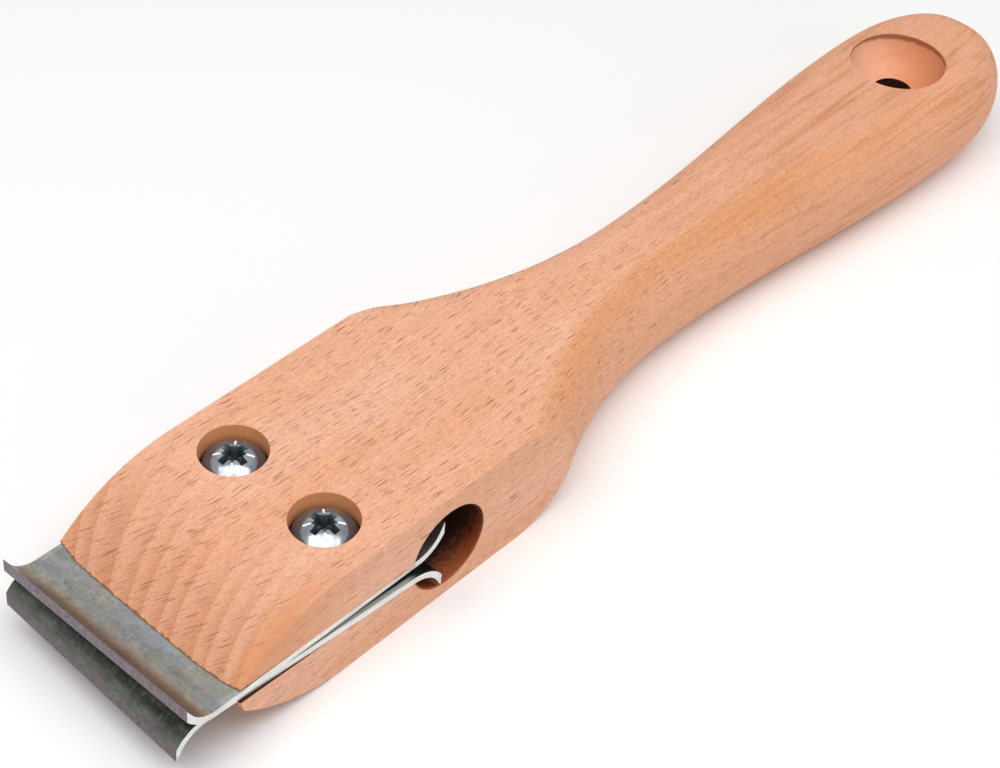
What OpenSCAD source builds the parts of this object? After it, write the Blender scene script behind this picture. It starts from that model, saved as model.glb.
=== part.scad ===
// Wood scraper: a beech handle with a sawn fork at its head, two double-ended
// hooked blades clamped in the fork, and two machine screws with captive nuts.
// X runs from the blades (minus) to the end of the grip (plus), and Z is up.
// The origin is on the underside of the head, below the axis of the cross bore.
// All sizes are in millimetres and all angles in degrees.

/* [Head] */
// Width of the head
head_w = 48; // [45:0.5:54]
// Thickness of the board that the handle is cut from
board_t = 25.5; // [24.5:0.25:28]
// Distance from the cross bore to the front of the nose
nose_x = 51.2; // [49:0.2:54]
// Distance from the cross bore to where the nose starts to curve
nose_start = 24.8; // [22:0.2:27]
// Radius of the upper and lower curve of the nose
nose_r = 40; // [37:0.5:46]

/* [Neck and grip] */
// Distance from the cross bore to where the rounding of the edges starts
runout_x = 20; // [17:0.5:23]
// Length over which the rounding grows to its depth at the neck
runout_l = 17; // [14:0.5:24]
// Distance from the cross bore to where the shoulder starts to curve in
shoulder_x = 25.4; // [24:0.2:30]
// How far the shoulder's outline stands wider than the side of the head
shoulder_flare = 3.1; // [2.4:0.1:3.6]
// Radius of the outward curve at the shoulder
shoulder_r = 14.7; // [10:0.1:22]
// Distance from the cross bore to the narrowest place of the neck
neck_x = 80.8; // [76:0.2:90]
// Width of the neck at its narrowest place
neck_w = 25.1; // [22:0.1:28]
// Depth of the rounding on the sides of the neck, seen from above
neck_round = 8.5; // [6:0.25:10]
// Distance from the cross bore to the widest place of the grip
grip_x = 174.6; // [160:0.2:190]
// Width of the grip at its widest place
grip_w = 38.4; // [34:0.2:42]
// Depth of the rounding on the sides of the grip, seen from above
grip_round = 10; // [7:0.25:12]
// Length of the rounded end, past the widest place
end_l = 30.6; // [24:0.2:36]
// Fullness of the rounded end, where 2 is an ellipse and more is squarer
end_fullness = 2.35; // [2:0.05:2.8]

/* [Hang hole] */
// Distance from the end of the grip to the centre of the hang hole
hang_inset = 31.8; // [26:0.2:40]
// Diameter of the hang hole
hang_d = 9; // [6:0.5:11]
// Diameter of the round dish at the mouth of the hang hole
dish_d = 21.6; // [20:0.2:21.6]
// Radius of the ball-ended cutter that makes the dish
dish_r = 11; // [10.9:0.1:14]

/* [Cross bore and kerf] */
// Diameter of the cross bore, in which the kerf ends
bore_d = 18; // [17.5:0.25:20]
// Height of the cross bore's axis above the underside
bore_z = 12.25; // [12:0.05:12.5]
// Height of the kerf's lower wall below the cross bore's axis, at that axis
kerf_drop = 2.75; // [2.5:0.05:3]
// Angle at which the kerf's lower wall rises towards the nose
kerf_rise = 2.9; // [2.4:0.1:3.4]
// How much wider the kerf is at the cross bore's axis than at the nose
kerf_spread = 1.1; // [0.9:0.05:1.4]

/* [Blades] */
// Length of a blade from edge to edge
blade_l = 62.5; // [60:0.25:64]
// How far each end of a blade's edge stops short of the side of the head
blade_short = 0.05; // [0:0.05:1]
// Thickness of the blade steel
blade_t = 1.5; // [1.2:0.05:1.7]
// Inside radius of a blade's bend
hook_r = 6.5; // [5.5:0.25:7]
// Angle through which each end of a blade is bent
hook_angle = 60; // [50:1:65]
// Length of the straight lip past the bend, to the edge
lip_l = 2.35; // [2.1:0.05:2.8]
// Width of the two slots in a blade
slot_w = 7.2; // [7:0.1:8.5]
// How much further out than shown a slot lets the blade be set
slot_play = 1; // [0.8:0.1:2.5]
// Distance from the cross bore's axis to the upper blade's rear edge
upper_tail = 1.15; // [0.5:0.05:2]
// Distance from the cross bore's axis to the lower blade's rear edge
lower_tail = 1.6; // [0.5:0.05:2]
// Turn of the upper blade in its loose slots, seen from above
upper_skew = 0.9; // [-1.5:0.1:1.5]
// Turn of the lower blade in its loose slots, seen from above
lower_skew = -1.7; // [-1.8:0.1:1.5]
// How much wider the kerf is at the nose than the two blades together
blade_gap = 0.35; // [0.3:0.05:0.6]

/* [Screws and nuts] */
// Distance from the cross bore's axis to the screws
screw_x = 20; // [19:0.25:22]
// Distance from the side of the head to the nearer screw
screw_inset = 12; // [10:0.25:13]
// Outside diameter of the screw thread
thread_d = 6; // [5.5:0.1:6.2]
// Diameter of the pan head
head_d = 12; // [11:0.1:13]
// Height of the pan head
head_h = 4.6; // [4:0.1:5]
// Height of the pan head's upright rim
rim_h = 2.2; // [1.6:0.1:2.6]
// How far the top of the pan head lies below the face of the wood
head_sink = 0.6; // [0.3:0.1:1.2]
// Length across the wings of the cross recess
recess_d = 6.9; // [6:0.1:7.5]
// Depth of the cross recess
recess_depth = 3.2; // [2.4:0.1:3.5]
// How far the screw's tip stays inside the underside of the head
tip_gap = 0.3; // [0.2:0.1:1]
// Size of the nut across its flats
nut_flats = 10; // [9.5:0.1:11]
// Height of the nut
nut_h = 5.2; // [4.5:0.1:5.4]
// Room below the nut in which it can back off
nut_room = 1.75; // [1.5:0.05:2]

/* [Fits] */
// Clearance round the pan head in its counterbore
head_clear = 0.65; // [0.4:0.05:1]
// Clearance round the screw in the wood
screw_clear = 0.3; // [0.2:0.05:0.6]
// Clearance of the nut in its pocket, at each flat
nut_clear = 0.15; // [0.1:0.05:0.3]
// Clearance between the screw and the nut
thread_clear = 0.05; // [0.03:0.01:0.1]
// Gap where one piece bears on another
seat_gap = 0.05; // [0.02:0.01:0.1]

/* [Hidden] */

// Cuts run this far past the faces that they open
over = 1;
// Facets of a full circle that shows, and of a small one
fine = 96;
coarse = 48;

// Kerf: heights at the cross bore's axis, and the slopes of its two walls
kerf_low_z = bore_z - kerf_drop;
kerf_open = 2 * blade_t + blade_gap + kerf_spread;
kerf_top_rise = atan(tan(kerf_rise) - kerf_spread / nose_x);
function low_wall(x) = kerf_low_z - x * tan(kerf_rise);
function top_wall(x) = kerf_low_z + kerf_open - x * tan(kerf_top_rise);

// Places along the handle
end_x = grip_x + end_l;
hang_x = end_x - hang_inset;
// Height of the dish cutter's centre above the face of the wood
dish_lift = sqrt(pow(dish_r, 2) - pow(dish_d / 2, 2));

// Screws: place across the head, seat, length below it, radius of the dome
screw_y = head_w / 2 - screw_inset;
seat_z = board_t - head_sink - head_h;
screw_l = seat_z - tip_gap;
dome_h = head_h - rim_h;
dome_r = (pow(head_d / 2, 2) + pow(dome_h, 2)) / (2 * dome_h);
pocket_h = nut_room + nut_h + seat_gap;

// Blades: width, and where the edge is and the bend starts, from the middle
blade_w = head_w - 2 * blade_short;
edge_x = blade_l / 2;
bend_x = edge_x - hook_r * sin(hook_angle) - lip_l * cos(hook_angle);
upper_x = -(upper_tail + edge_x);
lower_x = -(lower_tail + edge_x);

// The slots reach both ways from the middle of a blade, so that it can be
// turned end for end when its edge is worn.
slot_run = edge_x + max(upper_tail, lower_tail) - screw_x + slot_play;

// Plan outline of the neck and grip, as half widths: an arc out at the
// shoulder, an arc into the neck, an eased swell to the grip, a rounded end.
shoulder_y = head_w / 2 + shoulder_flare;
neck_y = neck_w / 2;
grip_y = grip_w / 2;
ogee_turn = 2 * atan((shoulder_y - neck_y) / (neck_x - shoulder_x));
neck_r = (neck_x - shoulder_x) / sin(ogee_turn) - shoulder_r;

function shoulder_arc(a) = [shoulder_x + shoulder_r * sin(a),
                            shoulder_y - shoulder_r * (1 - cos(a))];
function neck_arc(a) = [neck_x - neck_r * sin(a), neck_y + neck_r * (1 - cos(a))];
function swell(t) = [neck_x + (grip_x - neck_x) * t,
                     neck_y + (grip_y - neck_y) * (1 - cos(180 * t)) / 2];
function round_end(a) = [grip_x + end_l * pow(sin(a), 2 / end_fullness),
                         grip_y * pow(cos(a), 2 / end_fullness)];

// The rounded body takes over from the square head just before the rounding
// starts, where its outline still lies wholly outside the head's sides.
joint_x = runout_x - over;

// Numbers of steps along each stretch of the outline
runout_steps = 4;
shoulder_steps = 8;
neck_steps = 10;
swell_steps = 12;
end_steps = 14;

side = concat(
    [[joint_x, shoulder_y]],
    [for (i = [0 : runout_steps - 1])
        [runout_x + (shoulder_x - runout_x) * i / runout_steps, shoulder_y]],
    [for (i = [0 : shoulder_steps - 1]) shoulder_arc(ogee_turn * i / shoulder_steps)],
    [for (i = [0 : neck_steps - 1]) neck_arc(ogee_turn * (1 - i / neck_steps))],
    [for (i = [0 : swell_steps - 1]) swell(i / swell_steps)],
    [for (i = [0 : end_steps - 1]) round_end(90 * i / end_steps)]
);
last = len(side) - 1;
plan = concat(side, [[end_x, 0]], [for (i = [last : -1 : 0]) [side[i][0], -side[i][1]]]);
count = len(plan);

// Outward direction of the outline at point i, square to its neighbours
function along(i) = plan[min(i + 1, count - 1)] - plan[max(i - 1, 0)];
function outward(i) = [-along(i)[1], along(i)[0]] / norm(along(i));

// Depth of the rounding at a place along the handle: it grows out of the
// square head, holds through the neck and grows a little more to the grip.
runout_round = 0.88 * shoulder_flare;
function clamp01(t) = max(0, min(1, t));
function round_at(x) =
    runout_round
    + (neck_round - runout_round) * sin(90 * clamp01((x - runout_x) / runout_l))
    + (grip_round - neck_round) * clamp01((x - neck_x) / (grip_x - neck_x));

// The rounded body is a stack of plan outlines, each drawn in from the side
// by the rounding's curve at that height.
level_steps = 16;
function level_angle(k) = -90 + 180 * k / level_steps;
function level_z(k) = board_t / 2 * (1 + sin(level_angle(k)));
function level_point(i, k) =
    let (p = plan[i] - outward(i) * round_at(plan[i][0]) * (1 - cos(level_angle(k))))
    [p[0], p[1], level_z(k)];

// The flat top and underside are strips from side to side, and a last corner.
cap_strips = concat(
    [for (i = [0 : last - 1]) [i, i + 1, count - 2 - i, count - 1 - i]],
    [[last, last + 1, last + 2]]
);

module rounded_body() {
    points = [for (k = [0 : level_steps]) for (i = [0 : count - 1]) level_point(i, k)];
    walls = [
        for (k = [0 : level_steps - 1]) for (i = [0 : count - 1])
        let (a = k * count + i, b = k * count + (i + 1) % count)
        each [[a, b, a + count], [b, b + count, a + count]]
    ];
    underside = [for (strip = cap_strips) [for (i = [len(strip) - 1 : -1 : 0]) strip[i]]];
    top = [for (strip = cap_strips) [for (i = strip) level_steps * count + i]];
    polyhedron(points, concat(walls, underside, top));
}

// Side view of the head: straight, with a nose between two equal curves.
module head_profile() {
    translate([-nose_start, 0]) square([nose_start + joint_x, board_t]);
    intersection() {
        translate([-nose_x, 0]) square([nose_x - nose_start, board_t]);
        translate([-nose_start, nose_r]) circle(nose_r, $fn = 2 * fine);
        translate([-nose_start, board_t - nose_r]) circle(nose_r, $fn = 2 * fine);
    }
}

// The rounded body is cut off square at the sides of the head, which leaves
// the curved crease where its outline runs out.
module cut_body() {
    intersection() {
        rounded_body();
        across_head(head_w) translate([joint_x - over, -over])
            square([end_x - joint_x + 2 * over, board_t + 2 * over]);
    }
}

module across_head(width) {
    rotate([90, 0, 0]) linear_extrude(width, center = true) children();
}

module kerf() {
    front = -nose_x - over;
    across_head(head_w + 2 * over)
        polygon([[0, low_wall(0)], [front, low_wall(front)],
                 [front, top_wall(front)], [0, top_wall(0)]]);
}

module cross_bore() {
    translate([0, 0, bore_z]) rotate([90, 0, 0])
        cylinder(d = bore_d, h = head_w + 2 * over, center = true, $fn = fine);
}

module screw_hole() {
    translate([0, 0, -over])
        cylinder(r = thread_d / 2 + screw_clear, h = board_t + 2 * over, $fn = coarse);
    translate([0, 0, seat_z])
        cylinder(r = head_d / 2 + head_clear, h = board_t, $fn = fine);
    translate([0, 0, -over])
        cylinder(r = (nut_flats / 2 + nut_clear) / cos(30), h = pocket_h + over, $fn = 6);
}

module hang_hole() {
    translate([0, 0, -over]) cylinder(d = hang_d, h = board_t + 2 * over, $fn = fine);
    translate([0, 0, board_t + dish_lift]) sphere(dish_r, $fn = fine);
}

module at_screw(side_sign) {
    translate([-screw_x, side_sign * screw_y, 0]) children();
}

module wooden_handle() {
    color("burlywood") difference() {
        union() {
            across_head(head_w) head_profile();
            cut_body();
        }
        kerf();
        cross_bore();
        for (side_sign = [-1, 1]) at_screw(side_sign) screw_hole();
        translate([hang_x, 0, 0]) hang_hole();
    }
}

// One bent end of a blade in side view: an arc, a straight lip, and an edge
// ground square to the blade, so that the inner corner is the sharp one.
bend_steps = 12;
lip_way = [cos(hook_angle), sin(hook_angle)];
outer_r = hook_r + blade_t;
outer_angle = min(hook_angle, asin(min(1, (edge_x - bend_x) / outer_r)));
function bend_point(r, a) = [bend_x + r * sin(a), outer_r - r * cos(a)];
outer_end = bend_point(outer_r, outer_angle);
outer_lip = max(0, (edge_x - outer_end[0]) / lip_way[0]);
bent_end = concat(
    [for (i = [0 : bend_steps - 1]) bend_point(outer_r, outer_angle * i / bend_steps)],
    [outer_end + outer_lip * lip_way, bend_point(hook_r, hook_angle) + lip_l * lip_way],
    [for (i = [bend_steps : -1 : 0]) bend_point(hook_r, hook_angle * i / bend_steps)]
);
other_end = [for (i = [len(bent_end) - 1 : -1 : 0]) [-bent_end[i][0], bent_end[i][1]]];

module blade_slot() {
    for (end_sign = [-1, 1]) translate([end_sign * slot_run, 0, -over])
        cylinder(d = slot_w, h = blade_t + 2 * over, $fn = coarse);
    translate([-slot_run, -slot_w / 2, -over])
        cube([2 * slot_run, slot_w, blade_t + 2 * over]);
}

module blade() {
    difference() {
        across_head(blade_w) polygon(concat(bent_end, other_end));
        for (side_sign = [-1, 1])
            translate([0, side_sign * screw_y, 0]) blade_slot();
    }
}

module upper_blade() {
    color("slategray")
    translate([upper_x, 0, top_wall(upper_x) - seat_gap])
    rotate([0, kerf_top_rise, 0]) rotate([0, 0, upper_skew])
    translate([0, 0, -blade_t]) blade();
}

module lower_blade() {
    color("dimgray")
    translate([lower_x, 0, low_wall(lower_x) + seat_gap])
    rotate([0, kerf_rise, 0]) rotate([0, 0, lower_skew])
    translate([0, 0, blade_t]) rotate([180, 0, 0]) blade();
}

// One wing pair of the cross recess, wide at the top and drawn in below.
module recess_wing(length, width, depth) {
    floor_share = 0.4;
    sheet = 0.01;
    hull() {
        translate([0, 0, head_h]) cube([length, width, 2 * sheet], center = true);
        translate([0, 0, head_h - depth])
            cube([length * floor_share, width * 0.7, 2 * sheet], center = true);
    }
}

module cross_recess() {
    wing_w = recess_d / 5;
    rib_w = recess_d / 12;
    for (turn = [0, 90]) rotate(turn) recess_wing(recess_d, wing_w, recess_depth);
    for (turn = [45, 135]) rotate(turn) recess_wing(recess_d * 0.55, rib_w, recess_depth * 0.75);
}

// Four short marks between the wings, cut a little into the dome.
module recess_marks() {
    mark_l = head_d / 6;
    mark_w = 0.3;
    mark_r = head_d * 0.33;
    mark_z = head_h - dome_r + sqrt(pow(dome_r, 2) - pow(mark_r, 2));
    tilt = asin(mark_r / dome_r);
    for (turn = [45 : 90 : 315]) rotate(turn) translate([mark_r, 0, mark_z]) rotate([0, tilt, 0])
        cube([mark_l, mark_w, mark_w], center = true);
}

module clamp_screw() {
    tip_h = thread_d / 8;
    translate([0, 0, seat_z + seat_gap]) {
        difference() {
            intersection() {
                cylinder(d = head_d, h = head_h, $fn = fine);
                translate([0, 0, head_h - dome_r]) sphere(dome_r, $fn = fine);
            }
            cross_recess();
            recess_marks();
        }
        translate([0, 0, -screw_l + tip_h])
            cylinder(d = thread_d, h = screw_l - tip_h, $fn = coarse);
        translate([0, 0, -screw_l])
            cylinder(d1 = thread_d * 0.75, d2 = thread_d, h = tip_h, $fn = coarse);
    }
}

module hex_nut() {
    corner_r = nut_flats / 2 / cos(30);
    // The corners are turned down at 30 degrees on both faces
    bevel = (corner_r - nut_flats / 2) * tan(30);
    translate([0, 0, nut_room]) difference() {
        intersection() {
            cylinder(r = corner_r, h = nut_h, $fn = 6);
            rotate_extrude($fn = coarse)
                polygon([[0, 0], [nut_flats / 2, 0], [corner_r, bevel],
                         [corner_r, nut_h - bevel], [nut_flats / 2, nut_h], [0, nut_h]]);
        }
        translate([0, 0, -over])
            cylinder(r = thread_d / 2 + thread_clear, h = nut_h + 2 * over, $fn = coarse);
    }
}

// Left and right are as seen from the grip, looking towards the blades.
module left_clamp_screw() { color("silver") at_screw(-1) clamp_screw(); }
module right_clamp_screw() { color("silver") at_screw(1) clamp_screw(); }
module left_nut() { color("darkgray") at_screw(-1) hex_nut(); }
module right_nut() { color("darkgray") at_screw(1) hex_nut(); }

wooden_handle();
upper_blade();
lower_blade();
left_clamp_screw();
right_clamp_screw();
left_nut();
right_nut();
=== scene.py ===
"""Wood scraper: a beech handle with two hooked blades clamped in its sawn head.

Sizes are in millimetres until a finished mesh is scaled to metres. The frame is
the CAD model's: +X runs from the blades to the end of the grip and +Z is up.
"""

import logging
from dataclasses import dataclass
from enum import Enum, IntEnum
from functools import partial
from math import asin, atan, copysign, cos, degrees, hypot, pi, radians, sin, sqrt, tan, tau
from typing import Any, Callable, Sequence

import bmesh
import bpy
from bmesh import ops
from bmesh.types import BMEdge, BMesh, BMFace, BMVert
from bpy.types import Material, Node, NodeSocket, NodeTree, Object, World
from mathutils import Matrix, Vector


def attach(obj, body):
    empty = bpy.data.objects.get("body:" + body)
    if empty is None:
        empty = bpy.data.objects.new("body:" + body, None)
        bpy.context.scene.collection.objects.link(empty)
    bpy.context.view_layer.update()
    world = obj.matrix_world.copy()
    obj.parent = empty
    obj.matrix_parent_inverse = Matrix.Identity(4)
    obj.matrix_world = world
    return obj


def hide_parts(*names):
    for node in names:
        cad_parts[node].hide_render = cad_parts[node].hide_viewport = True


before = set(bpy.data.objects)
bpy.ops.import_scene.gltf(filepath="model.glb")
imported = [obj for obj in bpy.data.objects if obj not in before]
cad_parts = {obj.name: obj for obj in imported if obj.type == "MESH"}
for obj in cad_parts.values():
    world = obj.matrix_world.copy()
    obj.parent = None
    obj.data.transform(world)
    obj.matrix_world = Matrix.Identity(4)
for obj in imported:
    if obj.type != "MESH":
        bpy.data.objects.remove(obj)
log = logging.getLogger("wood_scraper")

MM = 0.001
MODES = {"Math": "operation", "VectorMath": "operation", "MapRange": "interpolation_type", "Mix": "data_type",
         "Mapping": "vector_type", "TexNoise": "noise_dimensions"}
Point2 = tuple[float, float]
Size3 = tuple[float, float, float]
Adder = Callable[..., Node]


class Joining(Enum):
    """How one solid changes another."""

    CUT = "DIFFERENCE"
    KEEP_COMMON = "INTERSECT"


class Face(IntEnum):
    """Material places on a blade."""

    SKIN = 0
    SIDE = 1
    GROUND = 2


class Wood(IntEnum):
    """Material places on the handle."""

    SANDED = 0
    BORED = 1
    COUNTERBORED = 2
    DISHED = 3


def shift(x: float, y: float, z: float) -> Matrix:
    """A move along the three axes."""
    return Matrix.Translation((x, y, z))


def spin(angle_deg: float, axis: str) -> Matrix:
    """A turn about one axis."""
    return Matrix.Rotation(radians(angle_deg), 4, axis)


def new_object(name: str, bm: BMesh, materials: Sequence[Material]) -> Object:
    """Makes a scene object from a finished bmesh.

    Args:
        name: the object's name.
        bm: the mesh, which is freed.
        materials: one material for each material place.

    Returns:
        The linked object, still in millimetres.
    """
    mesh = bpy.data.meshes.new(name)
    bm.to_mesh(mesh)
    bm.free()
    for material in materials:
        mesh.materials.append(material)
    obj = bpy.data.objects.new(name, mesh)
    bpy.context.scene.collection.objects.link(obj)
    return obj


def bake(obj: Object) -> None:
    """Replaces an object's mesh by what its modifiers make of it.

    Args:
        obj: the object, whose modifiers are then removed.
    """
    graph = bpy.context.evaluated_depsgraph_get()
    mesh = bpy.data.meshes.new_from_object(obj.evaluated_get(graph))
    plain = obj.data
    obj.modifiers.clear()
    obj.data = mesh
    bpy.data.meshes.remove(plain)


def join_solids(body: Object, solid: BMesh, how: Joining = Joining.CUT) -> None:
    """Cuts a solid out of a piece, or keeps what both have in common.

    Args:
        body: the piece that is changed.
        solid: the solid that changes it, which is freed.
        how: what is done.
    """
    tool = new_object("tool", solid, body.data.materials)
    step = body.modifiers.new("join", "BOOLEAN")
    step.solver = "EXACT"
    step.operation = how.value
    step.object = tool
    bake(body)
    bpy.data.objects.remove(tool)


def finish_piece(obj: Object, body: str, node: str, sharp_deg: float = 32.0) -> None:
    """Scales a piece to metres, smooths it and ties it to its CAD body.

    Args:
        obj: the piece, in millimetres.
        body: the CAD body that it moves with.
        node: the CAD node that it stands for.
        sharp_deg: edges that turn by more than this stay crisp.
    """
    mesh = obj.data
    mesh.transform(Matrix.Scale(MM, 4))
    mesh.shade_smooth()
    mesh.set_sharp_from_angle(angle=radians(sharp_deg))
    even = obj.modifiers.new("even normals", "WEIGHTED_NORMAL")
    even.keep_sharp = True
    bake(obj)
    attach(obj, body)
    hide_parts(node)
    log.info("%s: %d faces on body %s", obj.name, len(obj.data.polygons), body)


def turned(profile: Sequence[Point2], steps: int, place: int = 0) -> BMesh:
    """Turns a profile about the Z axis into a closed solid.

    Args:
        profile: (radius, height) points that start and end on the axis.
        steps: how many steps make a full turn.
        place: the material place of its faces.

    Returns:
        The turned solid.
    """
    bm = bmesh.new()
    verts = [bm.verts.new((radius, 0.0, height)) for radius, height in profile]
    edges = [bm.edges.new(pair) for pair in zip(verts, verts[1:])]
    ops.spin(bm, geom=verts + edges, cent=(0, 0, 0), axis=(0, 0, 1), dvec=(0, 0, 0), angle=tau,
             steps=steps, use_merge=True, use_duplicate=False)
    ops.remove_doubles(bm, verts=bm.verts, dist=1e-4)
    ops.recalc_face_normals(bm, faces=bm.faces)
    for face in bm.faces:
        face.material_index = place
    return bm


def extruded(outline: Sequence[Point2], width: float, place: int = 0) -> BMesh:
    """Extrudes a side view across the tool, half to each side of the middle.

    Args:
        outline: (x, z) points of the side view.
        width: the width along Y.
        place: the material place of its faces.

    Returns:
        The solid.
    """
    bm = bmesh.new()
    face = bm.faces.new([bm.verts.new((x, -width / 2, z)) for x, z in outline])
    sweep = ops.extrude_face_region(bm, geom=[face], use_keep_orig=True)
    moved = [v for v in sweep["geom"] if isinstance(v, BMVert)]
    ops.translate(bm, verts=moved, vec=(0, width, 0))
    ops.recalc_face_normals(bm, faces=bm.faces)
    for side in bm.faces:
        side.material_index = place
    return bm


def eased_rim(radius: float, height: float, ease: float) -> list[Point2]:
    """Gives the profile of a small rounding where a bore opens in a flat face.

    Args:
        radius: the bore's radius.
        height: the height of the face.
        ease: the radius of the rounding.

    Returns:
        Points from the wall out to the face, and one past it.
    """
    angles = (radians(90 * step / 3) for step in range(4))
    curve = [(radius + ease * (1 - cos(a)), height - ease * (1 - sin(a))) for a in angles]
    past = radius + 1.6 * ease
    return curve + [(past, height + 0.6 * ease), (past, height + 2)]


def ease_edges(bm: BMesh, over_deg: float, size: float, steps: int) -> None:
    """Bevels each edge that turns by more than an angle.

    Args:
        bm: the mesh.
        over_deg: the least angle between an edge's two faces.
        size: the width of the bevel.
        steps: its segments.
    """
    edges = [e for e in bm.edges if e.is_manifold and e.calc_face_angle(0.0) > radians(over_deg)]
    ops.bevel(bm, geom=edges, offset=size, offset_type="OFFSET", segments=steps, profile=0.5,
              affect="EDGES", clamp_overlap=True, material=-1)


def linear(code: str) -> tuple[float, ...]:
    """Turns an sRGB hex value to a linear colour with full alpha."""
    parts = [int(code.lstrip("#")[i:i + 2], 16) / 255 for i in (0, 2, 4)]
    return (*[c / 12.92 if c <= 0.04045 else ((c + 0.055) / 1.055) ** 2.4 for c in parts], 1.0)


def add_node(tree: NodeTree, kind: str, inputs: dict[Any, Any] | Sequence[Any] = ()) -> Node:
    """Adds a node with its mode and links.

    Args:
        tree: the node tree.
        kind: the node's type without ShaderNode, and its mode after a point.
        inputs: what goes into its sockets, in their order or by key: a value, a hex
            colour, a socket, or a node, which stands for the first output that it uses.

    Returns:
        The new node. A texture's Scale is 1, because patches lays it out in millimetres.
    """
    kind, _, mode = kind.partition(".")
    node = tree.nodes.new("ShaderNode" + kind)
    if mode:
        setattr(node, MODES[kind], mode)
    if kind in ("TexNoise", "TexVoronoi"):
        node.inputs["Scale"].default_value = 1.0
    for key, value in inputs.items() if isinstance(inputs, dict) else enumerate(inputs):
        if isinstance(value, str):
            value = linear(value)
        if isinstance(value, Node):
            value = next(socket for socket in value.outputs if socket.enabled)
        if isinstance(value, NodeSocket):
            tree.links.new(value, node.inputs[key])
        else:
            node.inputs[key].default_value = value
    return node


def node_adder(owner: Material | World) -> Adder:
    """Empties a material's or a world's node tree.

    Args:
        owner: the material or world.

    Returns:
        What adds a node to the tree.
    """
    owner.use_nodes = True
    owner.node_tree.nodes.clear()
    return partial(add_node, owner.node_tree)


def seen_directly(add: Adder) -> Node:
    """Tells the rays that show a thing from those that light it.

    Args:
        add: what adds a node.

    Returns:
        What is 1 for rays of the camera, of gloss and of glass, and 0 for others.
    """
    path = add("LightPath")
    seen = add("Math.MAXIMUM", (path.outputs["Is Camera Ray"], path.outputs["Is Glossy Ray"]))
    return add("Math.MAXIMUM", (seen, path.outputs["Is Transmission Ray"]))


def patches(add: Adder, at: Any, size: Size3, detail: float, rough: float = 0.5,
            turn: Size3 = (0.0, 0.0, 0.0)) -> Node:
    """Lays noise over a piece in patches of a real size.

    Args:
        add: what adds a node.
        at: the coordinates in millimetres.
        size: the patches' size in millimetres.
        detail: how many times finer ones are laid over them.
        rough: how strong the finer ones are.
        turn: the turn of the patches.

    Returns:
        The noise.
    """
    laid = add("Mapping.TEXTURE", {0: at, "Rotation": turn, "Scale": size})
    return add("TexNoise", {"Vector": laid, "Detail": detail, "Roughness": rough})


@dataclass(frozen=True)
class Finish:
    """The name and the start of a finish."""

    name: str

    def start(self) -> tuple[Material, Adder, Node, Node]:
        """Starts the material.

        Returns:
            The material, what adds its nodes, its coordinates, and those in millimetres.
        """
        material = bpy.data.materials.new(self.name)
        add = node_adder(material)
        at = add("TexCoord")
        return material, add, at, add("VectorMath.SCALE", {0: at.outputs["Object"], "Scale": 1 / MM})


@dataclass(frozen=True)
class StainOrShade:
    """A darker or lighter part of the wood: a real stain, such as the browned wall of a bore, or painted
    shade, such as the dark inside of the bore.

    It grows along a direction, from clear to full, in millimetres from the
    origin. Its edge is ragged by rag millimetres in patches of grit millimetres.
    It may be kept to the blades' side of an x, where it fades out, and to above a
    height.
    """

    colour: str
    way: Size3
    clear: float
    full: float
    rag: float = 1.0
    grit: float = 2.0
    least: float = 0.0
    most: float = 1.0
    ends_x: float = 1000.0
    fade: float = 1.0
    above_z: float = -1000.0


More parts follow.
